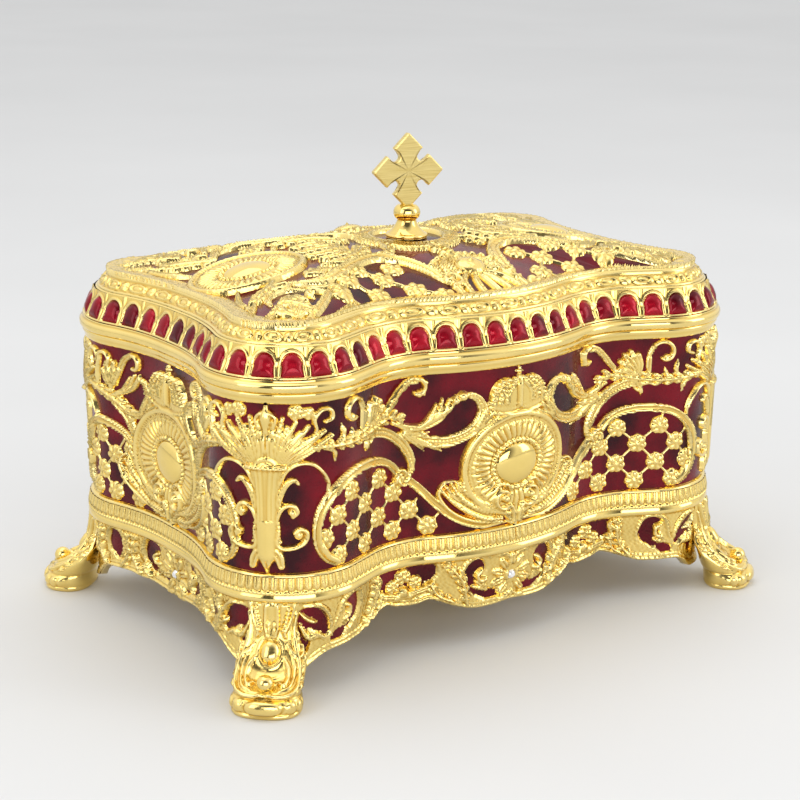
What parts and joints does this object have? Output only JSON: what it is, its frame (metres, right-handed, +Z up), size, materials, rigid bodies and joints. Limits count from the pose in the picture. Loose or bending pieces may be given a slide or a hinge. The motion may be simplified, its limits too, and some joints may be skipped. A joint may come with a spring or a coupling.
{
  "type": "reliquary casket",
  "caption": "Bombe gilt-metal casket with wine-red enamel grounds, scroll feet, a domed lift-off lid with a gadrooned cove and a flat cross finial.",
  "frame": {"origin": "on the ground, under the middle of the casket", "axes": "+Z up, +X along the long side, front towards -Y"},
  "size_m": [0.2664, 0.1858, 0.1954],
  "materials": {
    "gilt_metal": "bright gold-plated casting",
    "gilt_polished": "polished gold plate",
    "gilt_brushed": "brushed gold plate",
    "red_enamel": "translucent wine-red enamel, glossy",
    "crystal": "cut clear stone"
  },
  "bodies": {
    "root": {"casket_base": "gilt_metal", "casket_body": "gilt_metal", "lid": "gilt_metal", "finial_stem": "gilt_polished", "cross": "gilt_brushed", "stone_front": "crystal", "stone_right": "crystal", "stone_back": "crystal", "stone_left": "crystal"}
  },
  "joints": []
}
